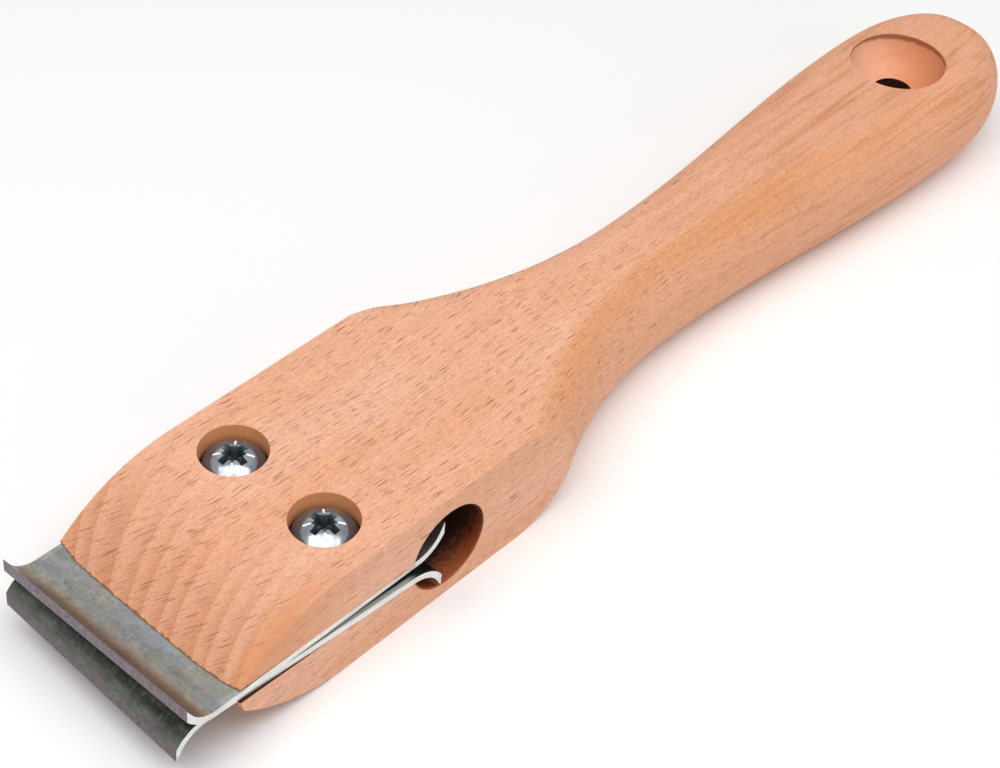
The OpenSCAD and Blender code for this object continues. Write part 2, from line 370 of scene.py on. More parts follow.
@dataclass(frozen=True)
class Beech(Finish):
    """Steamed beech, sawn and sanded, with no oil or varnish.

    Its rays are thin ribbons that stand along the grain and run out from the
    heart of the tree, so every face cuts them into short dark dashes. Steaming
    gives the pink. Each year's wood darkens to a sharp edge, which shows where
    the sanded nose slopes across the rings. End grain is drawn darker, which is
    also painted shade on the nose, and a band of painted shade runs along the
    near rounding of neck and grip. The grip comes from wood with few rays in its
    face and shows long soft streaks. Bored walls are browned, and the stains
    passed in also paint shade and shadow into the bore, the kerf and the seats.
    """

    head: str = "#f0b89b"
    grip: str = "#e9aa88"
    warm: str = "#eba676"
    streak: str = "#d59975"
    dash: str = "#8b4c2d"
    # Colour of the band of painted shade along the near rounding of neck and grip
    painted_shade_band: str = "#da935c"
    late: str = "#c98459"
    # End-grain colour, which is also painted shade on the sloping nose
    end_grain_and_shade: str = "#d9946a"
    dash_depth: float = 0.9
    roughness: float = 0.6
    stains_and_shades: tuple[StainOrShade, ...] = ()
    heart: Point2 = (59.9, -22.7)
    ring_gap: float = 3.6
    ray_lean: float = -36.0

    def build(self) -> Material:
        """Makes the material.

        Returns:
            The material, laid out in real millimetres.
        """
        material, add, place, mm = self.start()
        # The grain wanders about 0.8 mm over 70 mm of length
        wander = patches(add, mm, (70.0, 40.0, 40.0), 1.0)
        centred = add("VectorMath.SUBTRACT", (wander.outputs["Color"], (0.5, 0.5, 0.5)))
        grain = add("VectorMath.MULTIPLY_ADD", (centred, (0.0, 5.0, 5.0), mm))
        lean = (radians(self.ray_lean), 0.0, 0.0)

        # Head to grip: pinker in the head, a little browner in the grip
        split = add("SeparateXYZ", (mm,))
        x = split.outputs["X"]
        along = add("MapRange.SMOOTHSTEP", (x, 20.0, 150.0))
        tone = add("Mix.RGBA", {0: along, 6: self.head, 7: self.grip})

        # Broad warm bands, 60 mm long and 9 mm wide
        band = patches(add, grain, (60.0, 14.0, 9.0), 2.0, turn=lean)
        banded = add("Mix.RGBA", {0: add("MapRange", (band, 0.42, 0.72, 0.0, 0.6)), 6: tone, 7: self.warm})

        # Growth rings: arcs round the heart, each year darkening to a sharp edge
        heart = add("VectorMath.SUBTRACT", (grain, (0.0, *self.heart)))
        reach = add("VectorMath.LENGTH", (add("VectorMath.MULTIPLY", (heart, (0.0, 1.0, 1.0))),))
        # Good and poor years: rings from about 2.5 to 4.5 mm wide
        season = add("TexNoise.1D", {"W": reach, "Scale": 1 / 8, "Detail": 0.0})
        drawn = add("Math.MULTIPLY_ADD", (season, 1.6, -0.5))
        year = add("Math.FRACT", (add("Math.MULTIPLY_ADD", (reach, 1 / self.ring_gap, drawn)),))
        late = add("MapRange.SMOOTHSTEP", (year, 0.1, 1.0))
        early = add("MapRange", (year, 1.0, 0.965))
        edge = add("Math.MULTIPLY", (late, early))

        # End grain drinks light: a face across the grain looks darker and shows its rings. The darkening is
        # also painted shade on the sloping nose.
        facing = add("SeparateXYZ", (place.outputs["Normal"],))
        endwise = add("MapRange.SMOOTHSTEP", (add("Math.ABSOLUTE", (facing,)), 0.02, 0.6))
        ends = add("Mix.RGBA", {0: add("Math.MULTIPLY", (endwise, 0.45)), 6: banded, 7: self.end_grain_and_shade})
        nose_only = add("MapRange", (x, 0.0, -20.0, 0.0, 0.6))
        ring_show = add("Math.MULTIPLY_ADD", (endwise, nose_only, 0.1))
        ring_part = add("Math.MULTIPLY", (edge, ring_show))
        ringed = add("Mix.RGBA", {0: ring_part, 6: ends, 7: self.late})

        # Painted shade: a darker orange band along the near rounding of neck and grip, where the surface
        # turns from the top towards the near side
        shade_band_offset = add("Math.ABSOLUTE", (add("Math.ADD", (facing.outputs["Y"], 0.52)),))
        shade_band_part = add("MapRange.SMOOTHSTEP", (shade_band_offset, 0.55, 0.1, 0.0, 0.72))
        shade_band_from = add("MapRange.SMOOTHSTEP", (x, 15.0, 50.0))
        shade_band_to = add("MapRange.SMOOTHSTEP", (x, 190.0, 100.0))
        shade_band_show = add("Math.MULTIPLY", (shade_band_part, add("Math.MULTIPLY", (shade_band_from, shade_band_to))))
        shade_banded = add("Mix.RGBA", {0: shade_band_show, 6: ringed, 7: self.painted_shade_band})

        # Fibre: streaks 9 mm long and 0.4 mm wide, over finer ones of 3 by 0.15 mm
        fibre = patches(add, grain, (9.0, 0.7, 0.4), 4.0, 0.65, lean)
        fibre_part = add("MapRange", (fibre, 0.38, 0.78, 0.0, 0.75))
        fibred = add("Mix.RGBA", {0: fibre_part, 6: shade_banded, 7: self.streak})

        # Long soft streaks on the grip, 26 mm by 1.3 mm
        soft = patches(add, grain, (26.0, 3.0, 1.3), 2.0, turn=lean)
        toward_end = add("MapRange.SMOOTHSTEP", (x, 50.0, 150.0))
        soft_part = add("MapRange", (soft, 0.5, 0.72, 0.0, 0.8))
        streaked = add("Math.MULTIPLY", (soft_part, toward_end))
        rayed = add("Mix.RGBA", {0: streaked, 6: fibred, 7: self.late})

        # Rays: ribbons 2 to 3 mm long and 0.1 to 0.2 mm thick, in two sizes
        ray_left = add("Math.MULTIPLY_ADD", (toward_end, -0.8, 1.0))
        ray_sum = None
        for size, low, depth in (((6.0, 7.0, 0.26), 0.25, self.dash_depth),
                                 ((3.4, 5.0, 0.21), 0.35, self.dash_depth * 0.8)):
            ray = add("TexVoronoi", {0: add("Mapping.TEXTURE", {0: grain, "Rotation": lean, "Scale": size})})
            core = add("MapRange.SMOOTHSTEP", (ray, 0.33, 0.18))
            chance = add("SeparateColor", (ray.outputs["Color"],))
            shown = add("MapRange", (chance, low, 1.0, 0.0, depth))
            part = add("Math.MULTIPLY", (add("Math.MULTIPLY", (core, shown)), ray_left))
            rayed = add("Mix.RGBA", {0: part, 6: rayed, 7: self.dash})
            ray_sum = part if ray_sum is None else add("Math.MAXIMUM", (ray_sum, part))

        # Pores: specks 0.9 mm long and 0.3 mm wide, drawn coarser than real ones so that they show
        pore = patches(add, grain, (0.9, 0.33, 0.33), 2.0, 0.8)
        pore_tone = add("MapRange", (pore, 0.25, 0.75, 1.22, 0.82))
        colour = add("VectorMath.SCALE", {0: rayed, "Scale": pore_tone})

        for stain_or_shade in self.stains_and_shades:
            # A stain or a patch of painted shade fades from one side of the spot to the other, in a ragged
            # line
            away = add("VectorMath.DOT_PRODUCT", (mm, stain_or_shade.way))
            rub = patches(add, mm, (stain_or_shade.grit, stain_or_shade.grit, stain_or_shade.grit), 4.0)
            ragged = add("Math.MULTIPLY_ADD", (rub, 2 * stain_or_shade.rag, away))
            part = add("MapRange.SMOOTHSTEP", (ragged, stain_or_shade.clear + stain_or_shade.rag, stain_or_shade.full + stain_or_shade.rag,
                                               stain_or_shade.least, stain_or_shade.most))
            ahead = add("MapRange.SMOOTHSTEP", (x, stain_or_shade.ends_x + stain_or_shade.fade, stain_or_shade.ends_x - stain_or_shade.fade))
            above = add("Math.GREATER_THAN", (split.outputs["Z"], stain_or_shade.above_z))
            amount = add("Math.MULTIPLY", (part, add("Math.MULTIPLY", (ahead, above))))
            colour = add("Mix.RGBA", {0: amount, 6: colour, 7: stain_or_shade.colour})

        # The rays and pores are 0.03 mm deep, and the fibre stands 0.01 mm
        low = add("Math.MULTIPLY_ADD", (ray_sum, -1.0, fibre))
        relief = add("Bump", {"Height": low, "Strength": 0.5, "Distance": 0.05 * MM})
        shader = add("BsdfPrincipled", {
            "Base Color": colour, "Roughness": self.roughness, "Normal": relief, "Specular IOR Level": 0.3})
        add("OutputMaterial", (shader,))
        return material


@dataclass(frozen=True)
class BladeSteel(Finish):
    """Hardened blade strip: rolled, bent hot and left with its dull oxide.

    The oxide is mottled grey and green, straw yellow in the bend where it was
    heated, and scratched bright. A pale strip 1 mm wide beside the flat part's
    sheared sides is painted light, where the edge rounds over and catches light.
    """

    place: Matrix
    bands: tuple[tuple[float, str], ...] = (
        (0.0, "#7b7d78"), (0.3, "#969794"), (0.5, "#82837d"), (0.6, "#93918a"), (0.68, "#9b9282"),
        (0.78, "#83776a"), (0.86, "#7a6e63"), (1.0, "#73665d"))
    blue: str = "#7f8a9c"
    straw: str = "#8d8266"
    speck: str = "#3b3c36"
    scratch: str = "#c4cbd0"
    metallic: float = 0.8
    roughness: float = 0.38
    seed: float = 0.0
    half_length: float = 31.25
    half_width: float = 23.95
    # Colour of the painted light beside the sheared sides
    painted_light_margin: str = "#b6b9ae"
    painted_light_most: float = 0.9

    def build(self) -> Material:
        """Makes the material.

        Returns:
            The material, with its pattern turned to lie along the blade.
        """
        material, add, _, mm = self.start()
        own = add("Mapping.TEXTURE", {0: mm, "Location": self.place.to_translation(),
                                      "Rotation": self.place.to_euler("XYZ")})
        seeded = add("VectorMath.ADD", (own, (self.seed, self.seed * 1.7, 0.0)))
        split = add("SeparateXYZ", (own,))

        # Mottled oxide in patches of 1.6 by 3.6 mm, drawn out along the edge
        patch = patches(add, seeded, (1.6, 3.6, 2.0), 9.0, 0.74)
        patch.inputs["Distortion"].default_value = 0.5
        out = add("Math.ABSOLUTE", (split.outputs["X"],))
        ragged = add("Math.MULTIPLY_ADD", (patch, 1.6, out))
        span = add("MapRange", (ragged, self.half_length - 13.2, self.half_length + 0.8))
        ramp = add("ValToRGB", (span,))
        while len(ramp.color_ramp.elements) < len(self.bands):
            ramp.color_ramp.elements.new(0.5)
        for element, (where, code) in zip(ramp.color_ramp.elements, self.bands):
            element.position = where
            element.color = linear(code)
        shade = add("MapRange", (patch, 0.3, 0.7, 0.6, 1.32))
        skin = add("VectorMath.SCALE", {0: ramp, "Scale": shade})

        # Blue and yellow heat tints in clouds of 4 mm
        laid = add("Mapping.TEXTURE", {0: seeded, "Scale": (3.0, 5.0, 4.0), "Location": (7.0, 3.0, 0.0)})
        cloud = add("TexNoise", {"Vector": laid, "Detail": 3.0})
        blued = add("Mix.RGBA", {0: add("MapRange", (cloud, 0.52, 0.7, 0.0, 0.45)), 6: skin, 7: self.blue})
        heated = add("Mix.RGBA", {0: add("MapRange", (cloud, 0.45, 0.3, 0.0, 0.35)), 6: blued, 7: self.straw})

        # Specks of scale, 0.5 mm across
        speck = patches(add, seeded, (0.5, 0.5, 0.5), 2.0)
        speck_part = add("MapRange", (speck, 0.6, 0.74, 0.0, 0.55))
        specked = add("Mix.RGBA", {0: speck_part, 6: heated, 7: self.speck})

        # Scratches across the strip, 3.5 mm long and drawn 0.26 mm wide so that they show
        laid = add("Mapping", {0: seeded, "Rotation": (0.0, 0.0, 0.5), "Scale": (1 / 3.5, 1 / 0.26, 1 / 3)})
        scratch = add("TexNoise", {"Vector": laid, "Detail": 1.0})
        scratch_part = add("MapRange", (scratch, 0.64, 0.78, 0.0, 0.4))
        scratched = add("Mix.RGBA", {0: scratch_part, 6: specked, 7: self.scratch})

        # Painted light: a pale strip beside the sheared sides, where their rounded edge catches light. It is
        # also drawn less metallic.
        aside = add("Math.ABSOLUTE", (split.outputs["Y"],))
        worn = add("Math.MULTIPLY_ADD", (patch, 0.5, aside))
        painted_light_part = add("MapRange.SMOOTHSTEP", (worn, self.half_width - 1.0, self.half_width - 0.5,
                                                  0.0, self.painted_light_most))
        flat = add("MapRange.SMOOTHSTEP", (out, self.half_length - 6.0, self.half_length - 9.0))
        painted_light_margin = add("Math.MULTIPLY", (painted_light_part, flat))
        colour = add("Mix.RGBA", {0: painted_light_margin, 6: scratched, 7: self.painted_light_margin})
        shine = add("MapRange", (painted_light_margin, 0.0, 1.0, self.metallic, 0.1))

        gloss = add("MapRange", (patch, 0.3, 0.7, self.roughness + 0.12, self.roughness - 0.06))
        relief = add("Bump", {"Height": patch, "Strength": 0.35, "Distance": 0.12 * MM})
        shader = add("BsdfPrincipled", {
            "Base Color": colour, "Metallic": shine, "Roughness": gloss, "Normal": relief})
        add("OutputMaterial", (shader,))
        return material


@dataclass(frozen=True)
class GroundSteel(Finish):
    """Bare steel left by shears or a grinding wheel, with its fine marks."""

    light: str = "#d9d9d6"
    dark: str = "#8f8d8b"
    speck: str = "#4a4447"
    grain: Size3 = (0.4, 0.4, 0.4)
    speck_part: float = 0.5
    metallic: float = 0.7
    roughness: float = 0.36

    def build(self) -> Material:
        """Makes the material.

        Returns:
            The material, with marks of the size given by grain.
        """
        material, add, _, mm = self.start()
        mark = patches(add, mm, self.grain, 4.0, 0.6)
        bare = add("Mix.RGBA", {0: add("MapRange", (mark, 0.35, 0.65)), 6: self.dark, 7: self.light})
        wide = patches(add, mm, (0.55, 0.55, 0.55), 3.0, 0.7)
        wide_part = add("MapRange", (wide, 0.55, 0.68, 0.0, self.speck_part))
        colour = add("Mix.RGBA", {0: wide_part, 6: bare, 7: self.speck})
        relief = add("Bump", {"Height": mark, "Strength": 0.4, "Distance": 0.05 * MM})
        shader = add("BsdfPrincipled", {
            "Base Color": colour, "Metallic": self.metallic, "Roughness": self.roughness, "Normal": relief})
        add("OutputMaterial", (shader,))
        return material


@dataclass(frozen=True)
class ZincPlate(Finish):
    """Bright zinc plate over cold-headed steel, passivated to a blue cast.

    Two flanks, on either side of a line across the head, are painted darker as a
    painted reflection of dark surroundings; the plate is bright and cloudy
    between them. The recess is painted dark as painted shade.
    """

    spot: Vector
    light: str = "#a8adb0"
    dark: str = "#757d82"
    # Colour of the painted dark reflection on the flanks
    painted_dark_reflection: str = "#6c7084"
    # Colour of the painted shade in the recess
    painted_recess_shade: str = "#2c3033"
    crown_centre: float = 16.25
    crown_radius: float = 8.7
    metallic: float = 0.72
    roughness: float = 0.1

    def build(self) -> Material:
        """Makes the material.

        Returns:
            The material, with faint clouds 2 mm across and fine pitting.
        """
        material, add, _, mm = self.start()
        cloud = patches(add, mm, (2.0, 2.0, 2.0), 5.0, 0.6)
        plate = add("Mix.RGBA", {0: add("MapRange", (cloud, 0.35, 0.65)), 6: self.dark, 7: self.light})
        # Painted reflection: the head darkens away from a line across it along (0.68, -0.73, 0), as if its
        # flanks mirrored dark surroundings
        centred = add("VectorMath.SUBTRACT", (mm, tuple(self.spot)))
        aside = add("Math.ABSOLUTE", (add("VectorMath.DOT_PRODUCT", (centred, (0.68, -0.73, 0.0))),))
        ragged = add("Math.MULTIPLY_ADD", (cloud, 1.6, aside))
        dark_reflection_part = add("MapRange.SMOOTHSTEP", (ragged, 2.8, 5.4, 0.0, 0.7))
        with_dark_reflection = add("Mix.RGBA", {0: dark_reflection_part, 6: plate, 7: self.painted_dark_reflection})

        # Painted shade: the colour darkens below the crown's curve, into the recess
        inward = add("VectorMath.DISTANCE", (centred, (0.0, 0.0, self.crown_centre)))
        sunk = add("MapRange", (inward, self.crown_radius - 0.1, self.crown_radius - 1.6, 0.0, 0.65))
        colour = add("Mix.RGBA", {0: sunk, 6: with_dark_reflection, 7: self.painted_recess_shade})

        pit = patches(add, mm, (0.25, 0.25, 0.25), 3.0)
        gloss = add("MapRange", (cloud, 0.3, 0.7, self.roughness + 0.08, self.roughness))
        relief = add("Bump", {"Height": pit, "Strength": 0.15, "Distance": 0.02 * MM})
        shader = add("BsdfPrincipled", {
            "Base Color": colour, "Metallic": self.metallic, "Roughness": gloss, "Normal": relief})
        add("OutputMaterial", (shader,))
        return material


@dataclass
class Kerf:
    """The sawn slot in the head, pinched by the screws towards the nose."""

    low: float = 9.5
    opening: float = 4.45
    rise_deg: float = 2.9
    spread: float = 1.1
    nose: float = 51.2

    @property
    def top_rise_deg(self) -> float:
        """The slope of the upper wall."""
        return degrees(atan(tan(radians(self.rise_deg)) - self.spread / self.nose))

    def low_wall(self, x: float) -> float:
        """The height of the lower wall at x."""
        return self.low - x * tan(radians(self.rise_deg))

    def top_wall(self, x: float) -> float:
        """The height of the upper wall at x."""
        return self.low + self.opening - x * tan(radians(self.top_rise_deg))


@dataclass
class Handle:
    """The one-piece handle: nose, head, shoulder, neck and grip."""

    kerf: Kerf
    width: float = 48.0
    thick: float = 25.5
    nose: float = 51.2
    nose_start: float = 24.8
    nose_radius: float = 40.0
    crown: float = 4.0
    bow: float = 1.5
    tuck: float = 0.8
    rows: int = 18
    runout: float = 20.0
    runout_length: float = 17.0
    shoulder: float = 25.4
    flare: float = 3.1
    flare_rounded: float = 0.88
    shoulder_radius: float = 14.7
    neck: float = 80.8
    neck_half: float = 12.55
    neck_round: float = 8.5
    grip: float = 174.6
    grip_half: float = 19.2
    grip_round: float = 10.0
    end_length: float = 30.6
    end_fullness: float = 2.35
    hang_inset: float = 31.8
    hang_radius: float = 4.5
    dish_radius: float = 11.0
    dish_mouth: float = 10.8
    bore_radius: float = 9.0
    bore_height: float = 12.25
    screw_x: float = 20.0
    screw_y: float = 12.0
    screw_hole: float = 3.3
    counterbore: float = 6.65
    seat: float = 20.3
    pocket_half: float = 5.15
    pocket_depth: float = 7.0
    levels: int = 28
    ease: float = 0.35

    @property
    def hang_x(self) -> float:
        """The place of the hang hole."""
        return self.grip + self.end_length - self.hang_inset

    def half_outline(self) -> list[Point2]:
        """Gives the plan outline of one side as (x, half width) points.

        Returns:
            Points from the nose to the end of the grip, which is on the axis.
        """
        wide, bend = self.width / 2 + self.flare, self.shoulder_radius
        turn = 2 * atan((wide - self.neck_half) / (self.neck - self.shoulder))
        hollow = (self.neck - self.shoulder) / sin(turn) - bend
        points = []
        for start, end, steps in ((-self.nose, -self.nose_start, 30), (-self.nose_start, self.runout, 16),
                                  (self.runout, self.shoulder, 8)):
            points += [(start + (end - start) * i / steps, wide) for i in range(steps)]
        for a in (turn * i / 14 for i in range(14)):
            points.append((self.shoulder + bend * sin(a), wide - bend * (1 - cos(a))))
        for a in (turn * (1 - i / 26) for i in range(26)):
            points.append((self.neck - hollow * sin(a), self.neck_half + hollow * (1 - cos(a))))
        for t in (i / 44 for i in range(44)):
            swell = (self.grip_half - self.neck_half) * (1 - cos(pi * t)) / 2
            points.append((self.neck + (self.grip - self.neck) * t, self.neck_half + swell))
        for a in (radians(90 * i / 40) for i in range(40)):
            points.append((self.grip + self.end_length * sin(a) ** (2 / self.end_fullness),
                           self.grip_half * max(0.0, cos(a)) ** (2 / self.end_fullness)))
        return points + [(self.grip + self.end_length, 0.0)]

    def rounding(self, x: float) -> float:
        """Gives the depth of the rounding of the long edges, seen from above.

        Args:
            x: the place along the handle.

        Returns:
            The depth in millimetres.
        """
        start = self.flare_rounded * self.flare
        grow = min(1.0, max(0.0, (x - self.runout) / self.runout_length))
        swell = min(1.0, max(0.0, (x - self.neck) / (self.grip - self.neck)))
        neck = start + (self.neck_round - start) * sin(pi / 2 * grow)
        return neck + (self.grip_round - self.neck_round) * swell

    def fullness(self, y: float) -> float:
        """How full the sanded nose is at y: 1 in the middle and 0 at the sides."""
        return 1 - min(1.0, abs(2 * y / self.width)) ** 5

    def span(self, x: float, y: float) -> Point2:
        """Gives the heights of the underside and the top, with the nose's curves.

        Args:
            x: the place along the handle.
            y: the place across it.

        Returns:
            The lower and the upper height.
        """
        past = max(0.0, -self.nose_start - x)
        low, high = (radius - sqrt(radius ** 2 - past ** 2)
                     for radius in (self.nose_radius, self.nose_radius + self.crown * self.fullness(y)))
        return low, self.thick - high

    def body(self) -> BMesh:
        """Lofts the outline through the board's thickness and trims the sides.

        Returns:
            The closed body with its long edges eased, before any bore.
        """
        points = self.half_outline()
        last = len(points) - 1
        directions = []
        for i, point in enumerate(points):
            before = points[max(i - 1, 0)]
            after = points[i + 1] if i < last else (point[0], -points[i - 1][1])
            dx, dy = after[0] - before[0], after[1] - before[1]
            size = hypot(dx, dy)
            directions.append((-dy / size, dx / size))
        bm = bmesh.new()
        column = bm.verts.layers.int.new("column")
        row = bm.verts.layers.int.new("row")
        ops.create_grid(bm, x_segments=last, y_segments=self.rows, size=1.0)
        for vert in bm.verts:
            vert[column] = round((vert.co.x + 1) / 2 * last)
            vert[row] = round((vert.co.y + 1) / 2 * self.rows)

        def place(verts: Sequence[BMVert], level: int) -> None:
            """Moves a sheet's corners to the outline at one level.

            Args:
                verts: the corners.
                level: the level, from 0 at the underside.
            """
            angle = radians(-90 + 180 * level / self.levels)
            share = (1 + sin(angle)) / 2
            for vert in verts:
                i = vert[column]
                x, half = points[i]
                inset = self.rounding(x) * (1 - cos(angle))
                edge = max(0.0, half - directions[i][1] * inset) if i < last else 0.0
                y = edge * (2 * vert[row] / self.rows - 1)
                forward = max(0.0, -self.nose_start - x) / (self.nose - self.nose_start)
                bow = self.bow * self.fullness(y) * min(1.0, 2 * share)
                reach = bow - self.tuck * max(0.0, 1 - 3 * share)
                x -= directions[i][0] * inset + reach * forward ** 3
                low, high = self.span(x, y)
                vert.co = (x, y, low + (high - low) * share)

        place(bm.verts, 0)
        sheet = list(bm.faces)
        for level in range(1, self.levels + 1):
            rims = {edge for face in sheet for edge in face.edges}
            geom = sheet + list(rims)
            grown = ops.extrude_face_region(bm, geom=geom, use_keep_orig=(level == 1))["geom"]
            place([g for g in grown if isinstance(g, BMVert)], level)
            sheet = [g for g in grown if isinstance(g, BMFace)]
        ops.remove_doubles(bm, verts=bm.verts, dist=1e-4)
        for way in (-1, 1):
            geom = bm.verts[:] + bm.edges[:] + bm.faces[:]
            trim = ops.bisect_plane(bm, geom=geom, dist=1e-5, plane_co=(0, way * self.width / 2, 0),
                                    plane_no=(0, way, 0), clear_outer=True)["geom_cut"]
            ops.edgenet_fill(bm, edges=[g for g in trim if isinstance(g, BMEdge)])
        ops.recalc_face_normals(bm, faces=bm.faces)
        ease_edges(bm, over_deg=24.0, size=self.ease, steps=3)
        return bm

    def cutters(self) -> list[BMesh]:
        """Makes the solids of the kerf, bores, pockets and hang hole.

        Returns:
            One solid for each cut.
        """
        kerf, far = self.kerf, -self.nose - 2
        # The lower wall falls away 0.05 mm at the bore, so that the bend clears it as the blade slides out
        fall, fall_from = 0.25, -11.0
        slit = [(0.0, kerf.low_wall(0) - fall), (fall_from, kerf.low_wall(fall_from)),
                (far, kerf.low_wall(far)), (far, kerf.top_wall(far)), (0.0, kerf.top_wall(0))]
        cuts = [extruded(slit, self.width + 4, Wood.BORED)]
        rim = eased_rim(self.bore_radius, self.width / 2, self.ease)
        end = rim[-1][1]
        bore = turned([(0.0, -end)] + [(r, -h) for r, h in reversed(rim)] + rim + [(0.0, end)],
                      96, Wood.BORED)
        bore.transform(shift(0, 0, self.bore_height) @ spin(90, "X"))
        cuts.append(bore)
        corner = self.pocket_half / cos(radians(30))
        for way in (-1, 1):
            spot = shift(-self.screw_x, way * self.screw_y, 0)
            rim = eased_rim(self.counterbore, self.thick, self.ease / 3) + [(0.0, self.thick + 2)]
            hole = turned([(0.0, -2.0), (self.screw_hole, -2.0), (self.screw_hole, self.seat),
                           (self.counterbore, self.seat)] + rim, 96, Wood.COUNTERBORED)
            hole.transform(spot)
            pocket = bmesh.new()
            place = spot @ shift(0, 0, self.pocket_depth / 2 - 1) @ spin(30, "Z")
            ops.create_cone(pocket, cap_ends=True, segments=6, radius1=corner, radius2=corner,
                            depth=self.pocket_depth + 2, matrix=place)
            for face in pocket.faces:
                face.material_index = Wood.BORED
            cuts += [hole, pocket]
        dish = self.dish_radius
        lift = sqrt(dish ** 2 - self.dish_mouth ** 2)
        first, last = asin(self.hang_radius / dish), asin((self.dish_mouth - 0.02) / dish)
        angles = (first + (last - first) * i / 14 for i in range(15))
        ball = [(dish * sin(a), self.thick + lift - dish * cos(a)) for a in angles]
        under = [(r, -h) for r, h in reversed(eased_rim(self.hang_radius, 0.0, self.ease))]
        mouth = eased_rim(self.dish_mouth, self.thick, self.ease)[1:]
        hang = turned([(0.0, -2.0)] + under + ball + mouth + [(0.0, self.thick + 2)], 96, Wood.DISHED)
        for face in hang.faces:
            if face.calc_center_median().z < ball[0][1]:
                face.material_index = Wood.BORED
        hang.transform(shift(self.hang_x, 0, 0))
        return cuts + [hang]

    def build(self) -> None:
        """Builds the handle and dresses it."""
        up, wall, x = (0.0, 0.0, 1.0), self.kerf.top_wall(0), self.hang_x
        warm_nose = StainOrShade("#dc9260", (0.0, -1.0, 0.25), 24.3, 27.0, 1.0, 3.0, 0.0, 0.6, -30.0, 14.0, 12.0)
        # A dark ragged line along the kerf's upper edge on the nose: ragged wood fibre, and the painted
        # shadow of the gap under the blade
        fuzz_and_gap_shadow = StainOrShade("#4d4020", (-tan(radians(self.kerf.top_rise_deg)), 0.0, -1.0), -wall - 0.26,
                        -wall - 0.12, 0.5, 1.0, 0.0, 0.7, -49.0, 1.0, 14.0)
        # Browned by the drill, and painted shade: darker towards the top of the bore, where little light gets
        # in
        browned_and_shaded_bore = StainOrShade("#98400f", up, -9.0, 9.0, 5.0, 0.7, 0.5, 0.96)
        # Painted shade: nearly black deeper inside the bore, kerf and pockets, away from the near opening,
        # and more so higher up
        bore_depth_shade = StainOrShade("#1c0803", (0.0, 0.9, 0.35), -19.6, -14.0, 3.0, 0.9, 0.0, 0.94)
        # Painted shadow in the kerf: its walls towards the nose are painted dark brown
        kerf_gap_shadow = StainOrShade("#33201a", up, 0.0, 5.0, 0.5, 1.0, 0.0, 0.85, -12.0, 2.0, 8.0)
        warm_wall = StainOrShade("#ec9f68", up, 10.0, 20.0, 3.0, 0.8, 0.4, 0.75)
        # Painted shadow: the counterbore walls darken just above the seat, round the screw head
        seat_shadow = StainOrShade("#3a2018", (0.0, 0.0, -1.0), -21.8, -20.8, 0.5, 1.0, 0.0, 0.85)
        pale_dish = StainOrShade("#f3bd9c", up, 0.0, 10.0, 1.0, 2.0, 0.0, 0.7)
        warm_dish = StainOrShade("#da8d62", (0.68, -0.73, 0.0), 0.68 * x - 8.0, 0.68 * x + 7.0, 4.0, 1.5, 0.0, 0.9)
        brown_rim = StainOrShade("#8a4828", (0.07, 0.05, 1.0), 0.07 * x + 24.9, 0.07 * x + 25.7, 0.5, 1.2, 0.0, 0.8)
        wood = [Beech("steamed_beech_sanded", stains_and_shades=(warm_nose, fuzz_and_gap_shadow)),
                Beech("steamed_beech_bored", roughness=0.8, dash_depth=0.5,
                      stains_and_shades=(browned_and_shaded_bore, bore_depth_shade, kerf_gap_shadow)),
                Beech("steamed_beech_counterbored", roughness=0.6, dash_depth=0.4,
                      stains_and_shades=(warm_wall, seat_shadow)),
                Beech("steamed_beech_dished", roughness=0.5, dash_depth=0.35,
                      stains_and_shades=(pale_dish, warm_dish, brown_rim))]
        obj = new_object("beech_handle", self.body(), [finish.build() for finish in wood])
        for cutter in self.cutters():
            join_solids(obj, cutter)
        finish_piece(obj, "handle", "wooden_handle")


